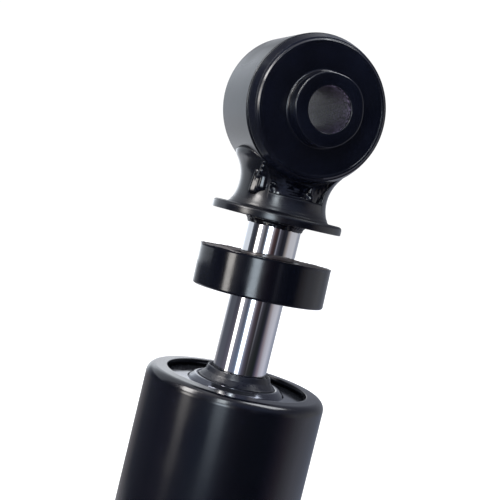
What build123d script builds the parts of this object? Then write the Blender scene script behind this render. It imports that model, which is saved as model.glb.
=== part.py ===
"""Twin-tube hydraulic shock absorber with a rubber-bushed eye at each end.

Frame: the origin is the centre of the lower eye, +Z runs up the damper's axis
to the upper eye, and both bolt bores run along Y. Units are millimetres.
"""
from build123d import *
import os

# --- driving dimensions -------------------------------------------------------
EYE_SPACING = 272.0          # lower bolt axis to upper bolt axis, as it stands
ROD_R = 6.25                 # chromed piston rod, 12.5 mm bar
SHELL_R = 21.0               # outside of the reserve tube, 42 mm
SHELL_WALL = 1.8
BORE_R = 13.0                # inside of the pressure tube, 26 mm
BORE_WALL = 1.2
EXTEND = 80.0                # rod travel outwards from here
RUNNING = 0.05               # radial clearance of a running fit

# eyes
RING_R = 16.67
RING_BORE_R = 13.9
RING_LENGTH = 16.0
FLANGE_R = 16.4              # rubber flange, where it meets the ring
FACE_R = 14.76               # rubber flange, at its flat face
FACE_Y = 11.03
HUB_R = 8.15
HUB_Y = 14.62
MOUTH_R = 5.3                # opening in the rubber hub
BOLT_BORE_R = 5.0
SLEEVE_R = 6.6
SLEEVE_LENGTH = 27.2

# saddle collar between rod and upper eye, heights below the eye's centre
COLLAR_R = 15.1
COLLAR_BOTTOM = 26.0
COLLAR_FLANGE = 2.0
NECK_R = 10.3
NECK_DROP = 19.2
NECK_CURVE_R = 9.2
EAR_DROP = 12.0
NOTCH_DROP = 20.0
ROD_TOP_DROP = 18.5
ROD_WELD_DROP = 27.5
ROD_WELD_R = 7.1

# bump stop
STOP_R = 15.2
STOP_TOP_DROP = 34.0
STOP_HEIGHT = 9.4

# top of the body, heights below the upper eye's centre
RIM_DROP = 63.7
RIM_R = 16.5
RIM_CORNER_R = 2.0
RIM_RISE = 0.3               # the rolled top climbs this much towards its inner edge
RECESS = 1.6
BOSS_R = 11.0
BOSS_RISE = 1.2
LIP_BASE_R = 8.7
LIP_TOP_R = 7.37
LIP_TOP_DROP = 61.5

# heights inside the body
SHELL_BOTTOM = 20.0
CAP_FLOOR = 20.5
CAP_LIP_TOP = 24.0
VALVE_UNDERSIDE = 26.0
BORE_BOTTOM = 30.0
VALVE_TOP = 34.0
RIVET_TOP = 37.6
ROD_END = 56.5
NUT_TOP = 63.3
DISCS_BOTTOM = 64.8
PISTON_BOTTOM = 66.0
PISTON_TOP = 80.0
SPACER_TOP = 85.5
ROD_SHOULDER = 88.0
REBOUND_STOP_BOTTOM = 100.0
REBOUND_STOP_HEIGHT = 3.5
GUIDE_BOTTOM = 189.0
BORE_TOP = 194.5
GUIDE_TOP = 201.0

# pistons and valves
PISTON_R = 12.7
BAND_R = BORE_R - RUNNING
BAND_INNER_R = 12.25
BAND_LENGTH = 10.0
SPIGOT_R = 4.0
SPACER_R = 4.9
PLATE_THICKNESS = 0.6
PLATE_GAP = 0.05
SPRING_WIRE_R = 0.3
DISC_THICKNESS = 0.3

# --- heights and radii that follow ---------------------------------------------
COLLAR_Z = EYE_SPACING - COLLAR_BOTTOM
RIM_Z = EYE_SPACING - RIM_DROP
PLATE_Z = RIM_Z - RECESS
BOSS_Z = PLATE_Z + BOSS_RISE
LIP_Z = EYE_SPACING - LIP_TOP_DROP
SHELL_BORE_R = SHELL_R - SHELL_WALL
FIT_R = SHELL_BORE_R - RUNNING
STOP_TOP = EYE_SPACING - STOP_TOP_DROP
SEAL_PLATE_THICKNESS = 1.2
BUMPER_TOP = GUIDE_BOTTOM - EXTEND - 0.3

os.makedirs("parts", exist_ok=True)


def eye_axis(centre_z):
    """Axis of the bolt through an eye."""
    return Axis((0, 0, centre_z), (0, 1, 0))


def outward_plane(centre_z, side):
    """Sketch plane through an eye, x outwards from its axis, y out of the front or rear."""
    z_dir = (0, 0, -1) if side == "front" else (0, 0, 1)
    return Plane(origin=(0, 0, centre_z), x_dir=(1, 0, 0), z_dir=z_dir)


def eye_ring(centre_z):
    """Steel ring, cut from tube, that holds the bush."""
    with BuildPart() as ring:
        with BuildSketch(Plane.XY.offset(centre_z)):
            with Locations(((RING_R + RING_BORE_R) / 2, 0)):
                Rectangle(RING_R - RING_BORE_R, RING_LENGTH)
        revolve(axis=eye_axis(centre_z))
        chamfer(ring.edges().filter_by(GeomType.CIRCLE), 0.25)
    return ring


def bush_half(centre_z, side):
    """One half of the rubber bush: spigot in the ring, flange over it and hub."""
    lip_y = SLEEVE_LENGTH / 2 + RUNNING
    with BuildPart() as half:
        with BuildSketch(outward_plane(centre_z, side)):
            with BuildLine():
                Polyline(
                    (SLEEVE_R + RUNNING, 0),
                    (RING_BORE_R, 0),
                    (RING_BORE_R, RING_LENGTH / 2),
                    (FLANGE_R, RING_LENGTH / 2),
                    (FACE_R, FACE_Y),
                    (HUB_R, FACE_Y),
                    (HUB_R, HUB_Y),
                    (MOUTH_R, HUB_Y),
                    (MOUTH_R, lip_y),
                    (SLEEVE_R + RUNNING, lip_y),
                    close=True,
                )
            make_face()
        revolve(axis=eye_axis(centre_z))
        circles = half.edges().filter_by(GeomType.CIRCLE)
        hub_mouth = circles.filter_by(lambda e: abs(abs(e.center().Y) - HUB_Y) < 0.01)
        fillet(hub_mouth, 0.5)
    return half


def eye_sleeve(centre_z):
    """Steel spacer tube that the bolt clamps, free to twist in the rubber."""
    with BuildPart() as sleeve:
        with BuildSketch(Plane.XY.offset(centre_z)):
            with Locations(((SLEEVE_R + BOLT_BORE_R) / 2, 0)):
                Rectangle(SLEEVE_R - BOLT_BORE_R, SLEEVE_LENGTH)
        revolve(axis=eye_axis(centre_z))
    return sleeve


def coil_spring(low_z, high_z, coil_r, turns):
    """Light coil spring standing on Z between two heights."""
    height = high_z - low_z - 2 * SPRING_WIRE_R
    with BuildPart() as spring:
        with BuildLine(Plane.XY.offset(low_z + SPRING_WIRE_R)) as coil:
            Helix(pitch=height / turns, height=height, radius=coil_r)
        with BuildSketch(coil.line ^ 0):
            Circle(SPRING_WIRE_R)
        sweep(path=coil.line, is_frenet=True)
    return spring


def tube_section(inner_r, outer_r, low_z, high_z):
    """Rectangle in the current sketch, which becomes a tube when it is revolved."""
    with Locations(((inner_r + outer_r) / 2, (low_z + high_z) / 2)):
        Rectangle(outer_r - inner_r, high_z - low_z)


def outer_rims(part):
    """Circular edges of a turned part that have its largest radius."""
    return part.edges().filter_by(GeomType.CIRCLE).group_by(SortBy.RADIUS)[-1]


# --- eyes: the same ring, bush and sleeve at both ends --------------------------
for end, centre in (("lower", 0.0), ("upper", EYE_SPACING)):
    ring = eye_ring(centre)
    ring.part.label = f"{end}_eye_ring"
    export_step(ring.part, f"parts/{end}_eye_ring.step")

    for side in ("front", "rear"):
        half = bush_half(centre, side)
        half.part.label = f"{end}_bush_{side}"
        export_step(half.part, f"parts/{end}_bush_{side}.step")

    sleeve = eye_sleeve(centre)
    sleeve.part.label = f"{end}_sleeve"
    export_step(sleeve.part, f"parts/{end}_sleeve.step")

# --- piston rod -----------------------------------------------------------------
with BuildPart() as piston_rod:
    with BuildSketch(Plane.XZ):
        tube_section(0, SPIGOT_R, ROD_END, ROD_SHOULDER)
        tube_section(0, ROD_R, ROD_SHOULDER, EYE_SPACING - ROD_TOP_DROP)
    revolve(axis=Axis.Z)
    chamfer(piston_rod.edges().group_by(Axis.Z)[0], 0.8)
    chamfer(piston_rod.edges().group_by(Axis.Z)[-1], 0.5)
piston_rod.part.label = "piston_rod"
export_step(piston_rod.part, "parts/piston_rod.step")

# --- saddle collar: flange, waisted neck and two ears that hug the ring ----------
neck_centre = (NECK_R + NECK_CURVE_R, EYE_SPACING - NECK_DROP)


def neck_radius(z):
    """Outside radius of the collar's neck at a height."""
    return neck_centre[0] - (NECK_CURVE_R**2 - (z - neck_centre[1]) ** 2) ** 0.5


flange_top = COLLAR_Z + COLLAR_FLANGE
ear_top = EYE_SPACING - EAR_DROP
neck_bottom = (neck_radius(flange_top), flange_top)
neck_top = (neck_radius(ear_top), ear_top)

with BuildPart() as saddle_collar:
    with BuildSketch(Plane.XZ):
        with BuildLine():
            Line((ROD_R, COLLAR_Z), (COLLAR_R, COLLAR_Z))
            Line((COLLAR_R, COLLAR_Z), (COLLAR_R, flange_top))
            Line((COLLAR_R, flange_top), neck_bottom)
            ThreePointArc(neck_bottom, (NECK_R, neck_centre[1]), neck_top)
            Line(neck_top, (ROD_R, ear_top))
            Line((ROD_R, ear_top), (ROD_R, COLLAR_Z))
        make_face()
    revolve(axis=Axis.Z)
    fillet(outer_rims(saddle_collar).sort_by(Axis.Z)[-1], 0.6)
    with Locations(Location((0, 0, EYE_SPACING), (90, 0, 0))):
        Cylinder(RING_R, 4 * COLLAR_R, mode=Mode.SUBTRACT)
    notch_z = EYE_SPACING - NOTCH_DROP
    with Locations((0, RING_LENGTH, notch_z), (0, -RING_LENGTH, notch_z)):
        Box(4 * COLLAR_R, RING_LENGTH, COLLAR_R, align=(Align.CENTER, Align.CENTER, Align.MIN),
            mode=Mode.SUBTRACT)
saddle_collar.part.label = "saddle_collar"
export_step(saddle_collar.part, "parts/saddle_collar.step")

# --- weld beads on the rod side ---------------------------------------------------
with BuildPart() as rod_weld:
    with BuildSketch(Plane.XZ):
        with BuildLine():
            foot = (ROD_R, EYE_SPACING - ROD_WELD_DROP)
            toe = (ROD_WELD_R, COLLAR_Z)
            Line(toe, (ROD_R, COLLAR_Z))
            Line((ROD_R, COLLAR_Z), foot)
            RadiusArc(foot, toe, 3.0)
        make_face()
    revolve(axis=Axis.Z)
rod_weld.part.label = "rod_weld"
export_step(rod_weld.part, "parts/rod_weld.step")

BEAD_HEIGHT = 3.0
BEAD_DEPTH = 2.0
for side, out in (("front", -1), ("rear", 1)):
    ring_end = out * RING_LENGTH / 2
    bead_toe = ring_end + out * BEAD_DEPTH
    with BuildPart() as eye_weld:
        with BuildSketch(Plane.YZ):
            with BuildLine():
                Polyline(
                    (ring_end, notch_z),
                    (bead_toe, notch_z),
                    (bead_toe - out * 0.4, notch_z + BEAD_HEIGHT * 0.55),
                    (ring_end, notch_z + BEAD_HEIGHT),
                    close=True,
                )
            make_face()
        extrude(amount=RING_LENGTH, both=True)
        with Locations((0, 0, notch_z)):
            Cylinder(NECK_R, 4 * BEAD_HEIGHT, mode=Mode.INTERSECT)
    eye_weld.part.label = f"eye_weld_{side}"
    export_step(eye_weld.part, f"parts/eye_weld_{side}.step")

# --- bump stop: rubber ring that rides on the rod ----------------------------------
STOP_BORE_R = ROD_R + 0.1
STOP_LEAD_R = 7.4
STOP_LEAD = 1.8
stop_bottom = STOP_TOP - STOP_HEIGHT
with BuildPart() as bump_stop:
    with BuildSketch(Plane.XZ):
        with BuildLine():
            Polyline(
                (STOP_BORE_R, stop_bottom),
                (STOP_R, stop_bottom),
                (STOP_R, STOP_TOP),
                (STOP_LEAD_R, STOP_TOP),
                (STOP_BORE_R, STOP_TOP - STOP_LEAD),
                close=True,
            )
        make_face()
    revolve(axis=Axis.Z)
    fillet(outer_rims(bump_stop), 0.5)
bump_stop.part.label = "bump_stop"
export_step(bump_stop.part, "parts/bump_stop.step")

# --- rebound stop and its bumper, fixed on the rod inside the body -------------------
rebound_stop_top = REBOUND_STOP_BOTTOM + REBOUND_STOP_HEIGHT
with BuildPart() as rebound_stop:
    with BuildSketch(Plane.XZ):
        tube_section(ROD_R, 10.5, REBOUND_STOP_BOTTOM, rebound_stop_top)
    revolve(axis=Axis.Z)
    chamfer(outer_rims(rebound_stop), 0.6)
rebound_stop.part.label = "rebound_stop"
export_step(rebound_stop.part, "parts/rebound_stop.step")

with BuildPart() as rebound_bumper:
    with BuildSketch(Plane.XZ):
        tube_section(ROD_R, 11.0, rebound_stop_top, BUMPER_TOP)
    revolve(axis=Axis.Z)
    fillet(outer_rims(rebound_bumper), 1.2)
rebound_bumper.part.label = "rebound_bumper"
export_step(rebound_bumper.part, "parts/rebound_bumper.step")

# --- piston: compression holes outside, rebound holes inside ---------------------------
INTAKE_RING_R = 9.6
INTAKE_HOLE_R = 1.3
BLEED_RING_R = 6.7
BLEED_HOLE_R = 1.0
HOLES = 6
groove_low = PISTON_BOTTOM + 1.9
groove_high = groove_low + BAND_LENGTH + 0.2
with BuildPart() as piston:
    with BuildSketch(Plane.XZ):
        tube_section(SPIGOT_R, PISTON_R, PISTON_BOTTOM, PISTON_TOP)
        with Locations((PISTON_R, (groove_low + groove_high) / 2)):
            Rectangle(2 * (PISTON_R - BAND_INNER_R + RUNNING), groove_high - groove_low,
                      mode=Mode.SUBTRACT)
    revolve(axis=Axis.Z)
    with Locations((0, 0, PISTON_TOP)):
        with PolarLocations(INTAKE_RING_R, HOLES):
            Hole(INTAKE_HOLE_R, PISTON_TOP - PISTON_BOTTOM)
        with PolarLocations(BLEED_RING_R, HOLES, start_angle=30):
            Hole(BLEED_HOLE_R, PISTON_TOP - PISTON_BOTTOM)
piston.part.label = "piston"
export_step(piston.part, "parts/piston.step")

with BuildPart() as piston_band:
    with BuildSketch(Plane.XZ):
        tube_section(BAND_INNER_R, BAND_R, groove_low + 0.1, groove_high - 0.1)
    revolve(axis=Axis.Z)
piston_band.part.label = "piston_band"
export_step(piston_band.part, "parts/piston_band.step")

with BuildPart() as piston_check_plate:
    with BuildSketch(Plane.XY.offset(PISTON_TOP + PLATE_GAP)):
        Circle(INTAKE_RING_R + INTAKE_HOLE_R + 0.5)
        Circle(SPACER_R + RUNNING, mode=Mode.SUBTRACT)
        with PolarLocations(BLEED_RING_R, HOLES, start_angle=30):
            Circle(BLEED_HOLE_R + 0.25, mode=Mode.SUBTRACT)
    extrude(amount=PLATE_THICKNESS)
piston_check_plate.part.label = "piston_check_plate"
export_step(piston_check_plate.part, "parts/piston_check_plate.step")

piston_plate_top = PISTON_TOP + PLATE_GAP + PLATE_THICKNESS
piston_check_spring = coil_spring(piston_plate_top + PLATE_GAP, SPACER_TOP, 8.0, 3)
piston_check_spring.part.label = "piston_check_spring"
export_step(piston_check_spring.part, "parts/piston_check_spring.step")

with BuildPart() as valve_spacer:
    with BuildSketch(Plane.XZ):
        tube_section(SPIGOT_R, SPACER_R, PISTON_TOP, SPACER_TOP)
    revolve(axis=Axis.Z)
valve_spacer.part.label = "valve_spacer"
export_step(valve_spacer.part, "parts/valve_spacer.step")

with BuildPart() as valve_stop:
    with BuildSketch(Plane.XZ):
        tube_section(SPIGOT_R, 9.6, SPACER_TOP, ROD_SHOULDER)
    revolve(axis=Axis.Z)
    chamfer(outer_rims(valve_stop).sort_by(Axis.Z)[-1], 0.8)
valve_stop.part.label = "valve_stop"
export_step(valve_stop.part, "parts/valve_stop.step")

REBOUND_DISCS = 4
with BuildPart() as rebound_discs:
    for count in range(REBOUND_DISCS):
        with BuildSketch(Plane.XY.offset(DISCS_BOTTOM + count * DISC_THICKNESS)):
            Circle(6.6 + 0.5 * count)
            Circle(SPIGOT_R, mode=Mode.SUBTRACT)
        extrude(amount=DISC_THICKNESS)
rebound_discs.part.label = "rebound_discs"
export_step(rebound_discs.part, "parts/rebound_discs.step")

with BuildPart() as backup_washer:
    with BuildSketch(Plane.XZ):
        tube_section(SPIGOT_R, 6.2, NUT_TOP, DISCS_BOTTOM)
    revolve(axis=Axis.Z)
backup_washer.part.label = "backup_washer"
export_step(backup_washer.part, "parts/backup_washer.step")

NUT_ACROSS_FLATS = 13.0
NUT_HEIGHT = 5.5
with BuildPart() as piston_nut:
    with BuildSketch(Plane.XY.offset(NUT_TOP - NUT_HEIGHT)):
        RegularPolygon(NUT_ACROSS_FLATS / 2, 6, major_radius=False)
        Circle(SPIGOT_R, mode=Mode.SUBTRACT)
    extrude(amount=NUT_HEIGHT)
piston_nut.part.label = "piston_nut"
export_step(piston_nut.part, "parts/piston_nut.step")

# --- reserve tube with its rolled-in top ---------------------------------------------
with BuildPart() as reserve_tube:
    with BuildSketch(Plane.XZ):
        with BuildLine():
            Polyline(
                (SHELL_BORE_R, SHELL_BOTTOM),
                (SHELL_R, SHELL_BOTTOM),
                (SHELL_R, RIM_Z - RIM_RISE),
                (RIM_R, RIM_Z),
                (RIM_R, PLATE_Z),
                (SHELL_BORE_R, PLATE_Z),
                close=True,
            )
        make_face()
    revolve(axis=Axis.Z)
    fillet(outer_rims(reserve_tube).sort_by(Axis.Z)[-1], RIM_CORNER_R)
    rim_mouth = reserve_tube.edges().filter_by(GeomType.CIRCLE).group_by(SortBy.RADIUS)[0]
    fillet(rim_mouth.sort_by(Axis.Z)[-1], 0.4)
reserve_tube.part.label = "reserve_tube"
export_step(reserve_tube.part, "parts/reserve_tube.step")

# --- seal plate, oil seal, guide and bush at the top of the body ------------------------
seal_top = PLATE_Z - SEAL_PLATE_THICKNESS
with BuildPart() as seal_plate:
    with BuildSketch(Plane.XZ):
        tube_section(LIP_BASE_R, FIT_R, seal_top, PLATE_Z)
        tube_section(LIP_BASE_R, BOSS_R, PLATE_Z, BOSS_Z)
    revolve(axis=Axis.Z)
    boss_rim = seal_plate.edges().filter_by(GeomType.CIRCLE).group_by(Axis.Z)[-1]
    fillet(boss_rim.sort_by(SortBy.RADIUS)[-1], 0.4)
seal_plate.part.label = "seal_plate"
export_step(seal_plate.part, "parts/seal_plate.step")

SEAL_BORE_R = ROD_R + RUNNING
CHANNEL_R = (8.2, 10.6)
with BuildPart() as oil_seal:
    with BuildSketch(Plane.XZ):
        with BuildLine():
            Polyline(
                (SEAL_BORE_R, LIP_Z - 0.1),
                (LIP_TOP_R, LIP_Z),
                (LIP_BASE_R, BOSS_Z),
                (LIP_BASE_R, seal_top),
                (17.0, seal_top),
                (17.0, GUIDE_TOP),
                (CHANNEL_R[1], GUIDE_TOP),
                (CHANNEL_R[1], seal_top - 1.5),
                (CHANNEL_R[0], seal_top - 1.5),
                (CHANNEL_R[0], GUIDE_TOP),
                (SEAL_BORE_R + 0.6, GUIDE_TOP),
                (SEAL_BORE_R, GUIDE_TOP + 1.0),
                (SEAL_BORE_R, GUIDE_TOP + 1.6),
                (SEAL_BORE_R + 0.6, seal_top - 1.0),
                (SEAL_BORE_R + 0.6, LIP_Z - 1.8),
                (SEAL_BORE_R, LIP_Z - 0.8),
                close=True,
            )
        make_face()
    revolve(axis=Axis.Z)
oil_seal.part.label = "oil_seal"
export_step(oil_seal.part, "parts/oil_seal.step")

GARTER_WIRE_R = 0.7
with BuildPart() as garter_spring:
    with Locations((0, 0, GUIDE_TOP + 1.3)):
        Torus(CHANNEL_R[0] + GARTER_WIRE_R + 0.02, GARTER_WIRE_R)
garter_spring.part.label = "garter_spring"
export_step(garter_spring.part, "parts/garter_spring.step")

GUIDE_BORE_R = 7.3
O_RING_WIRE_R = 0.8
o_ring_z = (BORE_TOP + GUIDE_TOP) / 2
with BuildPart() as rod_guide:
    with BuildSketch(Plane.XZ):
        tube_section(GUIDE_BORE_R, BORE_R, GUIDE_BOTTOM, BORE_TOP)
        tube_section(GUIDE_BORE_R, FIT_R, BORE_TOP, GUIDE_TOP)
        with Locations((FIT_R, o_ring_z)):
            Rectangle(4 * O_RING_WIRE_R, 2.4 * O_RING_WIRE_R, mode=Mode.SUBTRACT)
    revolve(axis=Axis.Z)
    with Locations((0, 0, GUIDE_TOP)):
        with PolarLocations(16.0, 3):
            Hole(0.9, GUIDE_TOP - BORE_TOP)
rod_guide.part.label = "rod_guide"
export_step(rod_guide.part, "parts/rod_guide.step")

with BuildPart() as rod_guide_bush:
    with BuildSketch(Plane.XZ):
        tube_section(SEAL_BORE_R, GUIDE_BORE_R, GUIDE_BOTTOM + 0.6, GUIDE_TOP - 1.0)
    revolve(axis=Axis.Z)
rod_guide_bush.part.label = "rod_guide_bush"
export_step(rod_guide_bush.part, "parts/rod_guide_bush.step")

with BuildPart() as guide_o_ring:
    with Locations((0, 0, o_ring_z)):
        Torus(SHELL_BORE_R - O_RING_WIRE_R - 0.02, O_RING_WIRE_R)
guide_o_ring.part.label = "guide_o_ring"
export_step(guide_o_ring.part, "parts/guide_o_ring.step")

with BuildPart() as pressure_tube:
    with BuildSketch(Plane.XZ):
        tube_section(BORE_R, BORE_R + BORE_WALL, BORE_BOTTOM, BORE_TOP)
    revolve(axis=Axis.Z)
pressure_tube.part.label = "pressure_tube"
export_step(pressure_tube.part, "parts/pressure_tube.step")

# --- base valve at the foot of the pressure tube -----------------------------------------
RIVET_R = 2.4
FOOT_INNER_R = 10.5
with BuildPart() as base_valve_body:
    with BuildSketch(Plane.XZ):
        tube_section(RIVET_R, BORE_R, BORE_BOTTOM, VALVE_TOP)
        tube_section(RIVET_R, BORE_R + BORE_WALL, VALVE_UNDERSIDE, BORE_BOTTOM)
        tube_section(FOOT_INNER_R, BORE_R + BORE_WALL, CAP_FLOOR, VALVE_UNDERSIDE)
    revolve(axis=Axis.Z)
    with Locations((0, 0, VALVE_TOP)):
        with PolarLocations(8.6, HOLES):
            Hole(INTAKE_HOLE_R, VALVE_TOP - VALVE_UNDERSIDE)
        with PolarLocations(4.6, 3):
            Hole(BLEED_HOLE_R, VALVE_TOP - VALVE_UNDERSIDE)
    with Locations((0, 0, CAP_FLOOR)):
        with PolarLocations(BORE_R, 4):
            Box(8, 7, 7, mode=Mode.SUBTRACT)
base_valve_body.part.label = "base_valve_body"
export_step(base_valve_body.part, "parts/base_valve_body.step")

COMPRESSION_DISCS = 3
discs_depth = COMPRESSION_DISCS * DISC_THICKNESS
with BuildPart() as compression_discs:
    for count in range(COMPRESSION_DISCS):
        with BuildSketch(Plane.XY.offset(VALVE_UNDERSIDE - (count + 1) * DISC_THICKNESS)):
            Circle(6.4 - 0.5 * count)
            Circle(RIVET_R, mode=Mode.SUBTRACT)
        extrude(amount=DISC_THICKNESS)
compression_discs.part.label = "compression_discs"
export_step(compression_discs.part, "parts/compression_discs.step")

RIVET_HEAD_R = 4.2
RIVET_HEAD = 1.8
SPRING_SEAT_R = 7.6
with BuildPart() as base_valve_rivet:
    with BuildSketch(Plane.XZ):
        head_top = VALVE_UNDERSIDE - discs_depth
        tube_section(0, RIVET_HEAD_R, head_top - RIVET_HEAD, head_top)
        tube_section(0, RIVET_R, head_top, RIVET_TOP)
        tube_section(0, 3.4, VALVE_TOP, RIVET_TOP)
        tube_section(0, SPRING_SEAT_R, RIVET_TOP - 0.8, RIVET_TOP)
    revolve(axis=Axis.Z)
base_valve_rivet.part.label = "base_valve_rivet"
export_step(base_valve_rivet.part, "parts/base_valve_rivet.step")

with BuildPart() as base_check_plate:
    with BuildSketch(Plane.XY.offset(VALVE_TOP + PLATE_GAP)):
        Circle(11.6)
        Circle(5.9, mode=Mode.SUBTRACT)
    extrude(amount=PLATE_THICKNESS)
base_check_plate.part.label = "base_check_plate"
export_step(base_check_plate.part, "parts/base_check_plate.step")

base_plate_top = VALVE_TOP + PLATE_GAP + PLATE_THICKNESS
base_check_spring = coil_spring(base_plate_top + PLATE_GAP, RIVET_TOP - 0.8, 6.8, 2)
base_check_spring.part.label = "base_check_spring"
export_step(base_check_spring.part, "parts/base_check_spring.step")

# --- bottom cap, its seam weld and the lower eye's weld --------------------------------------
CAP_DIP = 3.9                # the cap's dome reaches this far below the tube
with BuildPart() as bottom_cap:
    with BuildSketch(Plane.XZ):
        with BuildLine():
            Line((0, CAP_FLOOR), (0, SHELL_BOTTOM - CAP_DIP))
            ThreePointArc((0, SHELL_BOTTOM - CAP_DIP), (12.0, SHELL_BOTTOM - CAP_DIP * 0.72),
                          (SHELL_R, SHELL_BOTTOM))
            Line((SHELL_R, SHELL_BOTTOM), (SHELL_BORE_R, SHELL_BOTTOM))
            Line((SHELL_BORE_R, SHELL_BOTTOM), (SHELL_BORE_R, CAP_LIP_TOP))
            Line((SHELL_BORE_R, CAP_LIP_TOP), (17.4, CAP_LIP_TOP))
            Line((17.4, CAP_LIP_TOP), (17.4, CAP_FLOOR))
            Line((17.4, CAP_FLOOR), (0, CAP_FLOOR))
        make_face()
    revolve(axis=Axis.Z)
    with Locations(Location((0, 0, 0), (90, 0, 0))):
        Cylinder(RING_R, 4 * SHELL_R, mode=Mode.SUBTRACT)
bottom_cap.part.label = "bottom_cap"
export_step(bottom_cap.part, "parts/bottom_cap.step")

SEAM_WIDTH = 3.0
SEAM_PROUD = 0.5
with BuildPart() as bottom_seam_weld:
    with BuildSketch(Plane.XZ):
        with BuildLine():
            seam_low = (SHELL_R, SHELL_BOTTOM)
            seam_high = (SHELL_R, SHELL_BOTTOM + SEAM_WIDTH)
            Line(seam_high, seam_low)
            ThreePointArc(seam_low, (SHELL_R + SEAM_PROUD, SHELL_BOTTOM + SEAM_WIDTH / 2), seam_high)
        make_face()
    revolve(axis=Axis.Z)
bottom_seam_weld.part.label = "bottom_seam_weld"
export_step(bottom_seam_weld.part, "parts/bottom_seam_weld.step")

WELD_REACH = 10.0            # half width of the lower weld across the cap
with BuildPart() as lower_eye_weld:
    for out in (-1, 1):
        with BuildSketch(Plane.XZ):
            with BuildLine():
                Polyline(
                    (out * 3.0, RING_R + 1.0),
                    (out * WELD_REACH, RING_R + 1.0),
                    (out * (WELD_REACH - 0.6), RING_R - 4.2),
                    (out * 3.0, RING_R - 1.0),
                    close=True,
                )
            make_face()
        extrude(amount=RING_LENGTH / 2 - 0.4, both=True)
    with Locations(Location((0, 0, 0), (90, 0, 0))):
        Cylinder(RING_R, 2 * SHELL_R, mode=Mode.SUBTRACT)
    add(bottom_cap.part, mode=Mode.SUBTRACT)
lower_eye_weld.part.label = "lower_eye_weld"
export_step(lower_eye_weld.part, "parts/lower_eye_weld.step")
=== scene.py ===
"""Rear shock absorber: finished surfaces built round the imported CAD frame.

Lengths are in metres. The damper's axis is Z, both bolt bores run along Y and the
front of the eyes faces -Y. An angle round Z or round a bolt is measured from the
front or from the top, and grows towards +X.
"""
import math
import random

import bmesh
import bpy
from bpy.props import FloatProperty, FloatVectorProperty, IntProperty, PointerProperty
from bpy.types import Operator, Panel, PropertyGroup
from mathutils import Matrix, Vector, noise


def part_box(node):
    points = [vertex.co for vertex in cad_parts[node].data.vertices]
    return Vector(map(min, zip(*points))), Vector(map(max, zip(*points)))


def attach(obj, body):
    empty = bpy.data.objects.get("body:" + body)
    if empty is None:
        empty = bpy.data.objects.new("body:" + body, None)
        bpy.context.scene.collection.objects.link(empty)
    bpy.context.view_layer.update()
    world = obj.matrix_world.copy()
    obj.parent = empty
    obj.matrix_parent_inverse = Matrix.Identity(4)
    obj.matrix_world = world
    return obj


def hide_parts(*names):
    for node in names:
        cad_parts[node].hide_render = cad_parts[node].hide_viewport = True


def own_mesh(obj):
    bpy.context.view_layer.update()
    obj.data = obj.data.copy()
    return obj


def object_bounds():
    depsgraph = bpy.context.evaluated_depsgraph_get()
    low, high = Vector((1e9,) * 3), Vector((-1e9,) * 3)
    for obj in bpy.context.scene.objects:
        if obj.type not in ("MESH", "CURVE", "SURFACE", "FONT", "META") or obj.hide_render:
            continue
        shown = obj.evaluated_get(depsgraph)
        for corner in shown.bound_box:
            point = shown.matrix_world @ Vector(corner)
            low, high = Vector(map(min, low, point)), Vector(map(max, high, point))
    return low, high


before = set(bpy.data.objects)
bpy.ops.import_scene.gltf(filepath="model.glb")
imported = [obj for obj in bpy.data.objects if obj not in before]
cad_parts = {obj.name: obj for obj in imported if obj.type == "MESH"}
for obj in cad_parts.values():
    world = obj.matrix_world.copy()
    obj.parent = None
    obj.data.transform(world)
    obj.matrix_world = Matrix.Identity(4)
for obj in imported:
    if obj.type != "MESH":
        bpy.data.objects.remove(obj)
CAD_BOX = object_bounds()

bl_info = {
    "name": "Twin-tube Shock Absorber",
    "version": (1, 0, 0),
    "blender": (4, 5, 0),
    "location": "View3D > Sidebar > Shock",
    "description": "Builds the finished surfaces of a twin-tube shock absorber",
    "category": "Add Mesh",
}

MM = 0.001

# --- places read from the frame -------------------------------------------------
EYE_Z = {"lower": 0.0, "upper": sum(c.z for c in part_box("upper_eye_ring")) / 2}
RING_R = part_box("upper_eye_ring")[1].x
RING_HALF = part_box("upper_eye_ring")[1].y
HUB_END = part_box("upper_bush_rear")[1].y
SLEEVE_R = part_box("upper_sleeve")[1].x
SLEEVE_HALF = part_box("upper_sleeve")[1].y
ROD_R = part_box("piston_rod")[1].x
ROD_BOTTOM, ROD_TOP = (corner.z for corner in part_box("piston_rod"))
ROD_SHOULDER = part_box("valve_stop")[1].z
SPIGOT_R = 4.0 * MM
SHELL_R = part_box("reserve_tube")[1].x
SHELL_BOTTOM, RIM_Z = (corner.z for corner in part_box("reserve_tube"))
CAP_BOTTOM, CAP_LIP = (corner.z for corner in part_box("bottom_cap"))
PLATE_BOTTOM, BOSS_Z = (corner.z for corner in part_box("seal_plate"))
SEAL_BOTTOM, LIP_Z = (corner.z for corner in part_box("oil_seal"))
COLLAR_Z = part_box("saddle_collar")[0].z
COLLAR_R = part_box("saddle_collar")[1].x
STOP_BOTTOM, STOP_TOP = (corner.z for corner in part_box("bump_stop"))
STOP_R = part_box("bump_stop")[1].x
WELD_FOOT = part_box("rod_weld")[0].z
FLOOR_Z = CAD_BOX[0].z

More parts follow.
